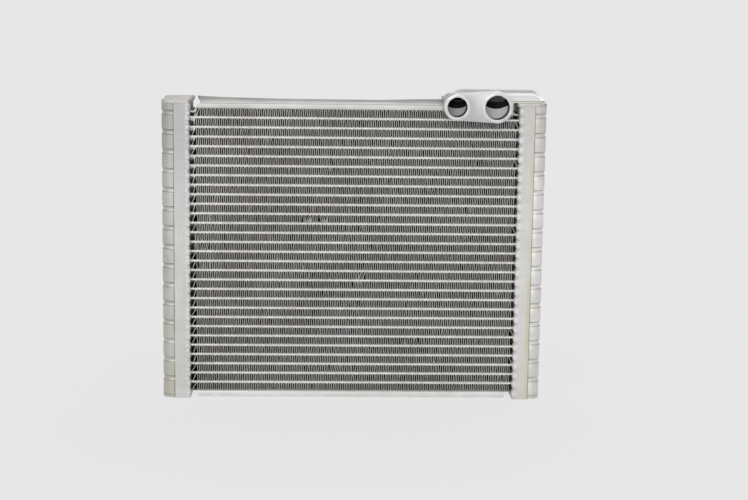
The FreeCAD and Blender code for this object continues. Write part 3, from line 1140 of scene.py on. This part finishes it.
def pocket(centre, radius):
    """The upper part of each bore goes deeper, to the foot of its duct."""
    front = block_low.y + bore_depth - mm
    back = block_high.y - 0.4 * mm
    hollow = start_bar("pocket", centre, radius, front, back, 48)
    lift = Vector((0, 0, pocket_arc - pocket_drop))
    wide = start_bar("arc", centre + lift, pocket_arc, front - mm, back + mm, 96)
    close_up(hollow)
    combine(hollow, wide, "INTERSECT")
    return hollow


def duct_window(centre, radius, height):
    left = centre.x - radius + window_margin
    right = centre.x + radius - window_margin
    low = Vector((left, block_low.y + bore_depth - mm, lower_shell_high.z))
    high = Vector((right, block_high.y + mm, lower_shell_high.z + height))
    return start_block("window", low, high)


def port_block():
    body = block_body()
    windows = ((outlet, outlet_bore, 4.1 * mm), (inlet, inlet_bore, 3.0 * mm))
    for centre, radius, height in windows:
        combine(body, duct_window(centre, radius, height), "DIFFERENCE")
    close_up(body)
    modify(
        body, "BEVEL", width=0.5 * mm, segments=2, limit_method="ANGLE",
        angle_limit=math.radians(50), use_clamp_overlap=True
    )
    smooth(body, 35)
    return body


dress(port_block(), "port_block", block_metal, "port_block")


# Manifold: two pressed ducts on a flat flange
def rounded_duct(name, low, high, slopes, radius):
    duct = start_block(name, low, high)
    left, right, front, back = slopes
    sides = ((X, low.x, left), (X, high.x, -right), (Y, low.y, front), (Y, high.y, -back))
    for axis, limit, shift in sides:
        pick(duct, "verts", lambda corner: corner.co.z > high.z - close
             and near(corner.co[axis], limit))
        move(**{"xy"[axis]: shift})
    pick(duct, "edges", lambda edge: middle(edge).z > low.z + close)
    bpy.ops.mesh.bevel(offset=radius, segments=5, clamp_overlap=True)
    leave_edit_mode()
    return duct


def manifold_ducts(wall):
    """Both ducts with their necks at the ports, and smaller by the wall to hollow them."""
    floor = lower_shell_high.z
    mouth = block_high.y - wall
    outlet_left = outlet.x - outlet_bore + wall
    outlet_right = outlet.x + outlet_bore - wall
    inlet_left = inlet.x - inlet_bore + wall
    inlet_right = inlet.x + inlet_bore - wall
    end = upper_shell_high.x - mm - wall
    back = upper_shell_high.y - mm - wall
    front_start = block_high.y + mm + wall
    front_end = middle_y - mm - wall
    front_top = floor + 5.3 * mm - wall
    rear_start = middle_y + mm + wall
    rear_top = upper_shell_high.z - wall
    neck_top = floor + 4.2 * mm - wall
    # Each duct: its left, right, front, back and top, and how far its four sides slope, in mm
    shapes = {
        "front_duct": (outlet_left, end, front_start, front_end, front_top, (2.6, 6.0, 2.6, 2.6)),
        "outlet_neck": (
            outlet_left, outlet_right, mouth, middle_y - 4 * mm, front_top, (2.6, 2.6, 0, 0)
        ),
        "rear_duct": (inlet_left, end, rear_start, back, rear_top, (13.0, 4.2, 2.6, 2.6)),
        "inlet_neck": (inlet_left, inlet_right, mouth, back - 3 * mm, neck_top, (2.6, 2.6, 0, 0)),
    }
    ducts = []
    for name, (left, right, front, rear, top, slopes) in shapes.items():
        low = Vector((left, front, floor - (mm if wall else 0)))
        high = Vector((right, rear, top))
        slopes = [slope * mm for slope in slopes]
        ducts.append(rounded_duct(name, low, high, slopes, duct_bend - wall))
    return ducts


def manifold():
    low = Vector((upper_shell_low.x, upper_shell_low.y, lower_shell_high.z))
    high = Vector((upper_shell_high.x, upper_shell_high.y, lower_shell_high.z + mm))
    shell = start_block("manifold_shell", low, high)
    round_shoulders(shell, high.x, 6)
    close_up(shell)
    for duct in manifold_ducts(0):
        combine(shell, duct, "UNION")
    modify(shell, "REMESH", mode="VOXEL", voxel_size=0.5 * mm, use_smooth_shade=True)
    modify(shell, "SMOOTH", factor=0.5, iterations=10)
    for duct in manifold_ducts(duct_wall):
        combine(shell, duct, "DIFFERENCE")
    close_up(shell)
    smooth(shell, 40)
    return shell


def manifold_floor():
    plate = start_block("manifold_floor_sheet", lower_shell_low, lower_shell_high)
    round_shoulders(plate, lower_shell_high.x, 6)
    pick(plate, "edges", lambda edge: edge.calc_face_angle() > 1.0 and not runs_along(edge, Z))
    bpy.ops.mesh.bevel(offset=0.2 * mm, segments=2)
    close_up(plate)
    smooth(plate)
    return plate


dress(manifold(), "manifold", manifold_metal, "manifold_upper_shell")
dress(manifold_floor(), "manifold", manifold_metal, "manifold_lower_shell")

for name in ("divider_left", "divider_right", "baffle_front", "baffle_rear"):
    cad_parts[name].data.materials.clear()
    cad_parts[name].data.materials.append(inner_metal)


# Camera at the photograph's viewing angle
def camera():
    azimuth = math.radians(-1.99)
    elevation = math.radians(10.0)
    roll = math.radians(0.79)
    target = Vector((16.9, 6.0, 115.8)) * mm
    back = Vector((
        math.sin(azimuth) * math.cos(elevation),
        -math.cos(azimuth) * math.cos(elevation),
        math.sin(elevation),
    ))
    level = (-back).cross(Vector((0, 0, 1))).normalized()
    upright = level.cross(-back)
    right = math.cos(roll) * level + math.sin(roll) * upright
    up = math.cos(roll) * upright - math.sin(roll) * level
    seat = target + back * 1369 * mm
    data = bpy.data.cameras.new("camera")
    data.sensor_width = 36
    data.lens = 82.83
    data.clip_start = 0.05
    data.clip_end = 50
    made = bpy.data.objects.new("camera", data)
    made.matrix_world = Matrix((
        (right.x, up.x, back.x, seat.x),
        (right.y, up.y, back.y, seat.y),
        (right.z, up.z, back.z, seat.z),
        (0, 0, 0, 1),
    ))
    bpy.context.scene.collection.objects.link(made)
    bpy.context.scene.camera = made


camera()


# Studio: pale world and floor, one large soft lamp above the front and a weak one behind
backdrop = grey(231)


def seen_directly(tree):
    path = node(tree, "LightPath").outputs
    seen = larger(tree, path["Is Camera Ray"], path["Is Glossy Ray"])
    return larger(tree, seen, path["Is Transmission Ray"])


def show(tree, share, plain, shown, output):
    """Mixes the lit surface with the flat backdrop by the share of it that is shown."""
    choice = fed_in_order(tree, "MixShader", {}, share, plain.outputs[0], shown.outputs[0])
    tree.links.new(choice[0], tree.nodes[output].inputs["Surface"])


def studio_world():
    world = bpy.data.worlds.new("studio")
    world.use_nodes = True
    bpy.context.scene.world = world
    tree = world.node_tree
    plain = tree.nodes["Background"]
    plain.inputs["Color"].default_value = (1, 1, 1, 1)
    plain.inputs["Strength"].default_value = 0.55
    shown = node(tree, "Background", Color=backdrop, Strength=1.0)
    show(tree, seen_directly(tree), plain, shown, "World Output")


def studio_floor():
    clear_selection()
    bpy.ops.mesh.primitive_plane_add(size=12, location=(0, 0, -0.05 * mm))
    floor = bpy.context.object
    floor.name = "floor"
    material = bpy.data.materials.new("floor_paper")
    material.use_nodes = True
    tree = material.node_tree
    tree.nodes.remove(tree.nodes["Principled BSDF"])
    place = node(tree, "TexCoord").outputs["Object"]
    paper = node(tree, "BsdfDiffuse", Color=(0.86, 0.86, 0.86, 1))
    flat = node(tree, "Emission", Color=backdrop, Strength=1.0)
    away = vector_node(tree, "LENGTH", place)["Value"]
    far = ramp(tree, away, 0.16, 0.34, 0.91, 1.0)
    show(tree, times(tree, seen_directly(tree), far), paper, flat, "Material Output")
    floor.data.materials.append(material)


def soft_lamp(name, seat, size, power):
    data = bpy.data.lights.new(name, "AREA")
    data.shape = "SQUARE"
    data.size = size
    data.energy = power
    lamp = bpy.data.objects.new(name, data)
    lamp.location = seat
    towards = Vector((0, 0, 0.12)) - Vector(seat)
    lamp.rotation_euler = towards.to_track_quat("-Z", "Y").to_euler()
    bpy.context.scene.collection.objects.link(lamp)


studio_world()
studio_floor()
soft_lamp("key", (-0.5, -2.6, 1.3), 2.0, 34.0)
soft_lamp("back", (0.8, 1.9, 1.6), 1.7, 18.0)
bpy.context.scene.view_settings.view_transform = "Standard"
